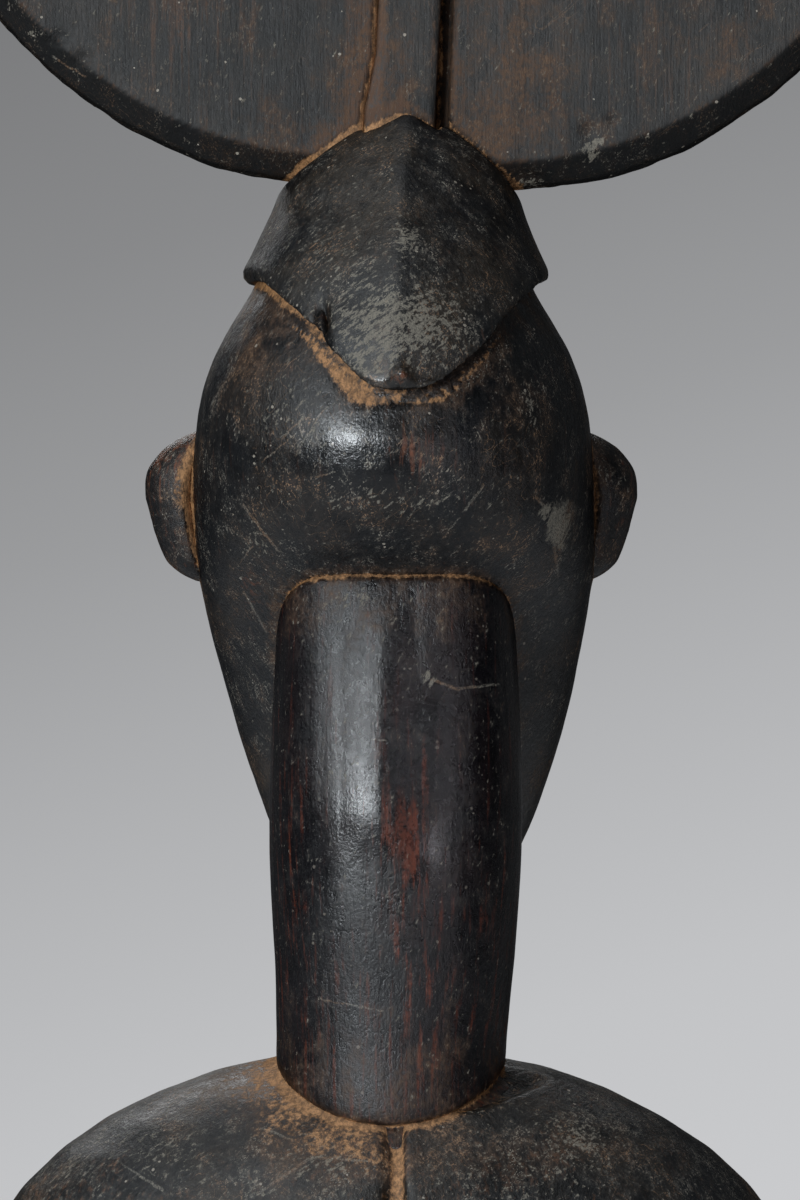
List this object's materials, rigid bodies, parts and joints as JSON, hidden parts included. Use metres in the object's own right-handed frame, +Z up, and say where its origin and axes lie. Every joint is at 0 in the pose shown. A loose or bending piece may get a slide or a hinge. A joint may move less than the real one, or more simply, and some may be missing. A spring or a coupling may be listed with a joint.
{
  "type": "fertility doll",
  "caption": "Standing carved wooden doll with hands on its belly, a long neck, a peaked cap and a tall round crest with a raised rib, on a round plinth.",
  "frame": {"origin": "centre of the plinth's underside, which stands on the surface", "axes": "+Z up, the face looks along -Y and the back along +Y, the doll's own left is +X"},
  "size_m": [0.1328, 0.092, 0.4591],
  "materials": {
    "head_patina": "satin black patina over fine grain",
    "cap_patina": "satin black patina, scuffed",
    "crest_patina": "dull black patina with rust-brown grain",
    "worn_patina": "polished by handling, dark red-brown",
    "body_patina": "black-brown patina with ochre dust in the hollows",
    "base_patina": "dull black-brown patina with ochre dust"
  },
  "bodies": {
    "root": {"plinth": "base_patina", "foot_left": "base_patina", "foot_right": "base_patina", "lower_leg_left": "base_patina", "lower_leg_right": "base_patina", "thigh_left": "base_patina", "thigh_right": "base_patina", "pelvis": "body_patina", "torso": "body_patina", "shoulders": "body_patina", "upper_arm_left": "body_patina", "upper_arm_right": "body_patina", "forearm_left": "body_patina", "forearm_right": "body_patina", "hand_left": "body_patina", "hand_right": "body_patina", "breast_left": "body_patina", "breast_right": "body_patina", "navel": "body_patina", "neck": "worn_patina", "head": "head_patina", "ear_left": "head_patina", "ear_right": "head_patina", "nose": "head_patina", "eye_left": "head_patina", "eye_right": "head_patina", "mouth": "head_patina", "coiffure_cap": "cap_patina", "crest_lobe_left": "crest_patina", "crest_lobe_right": "crest_patina", "crest_rib": "crest_patina"}
  },
  "joints": []
}
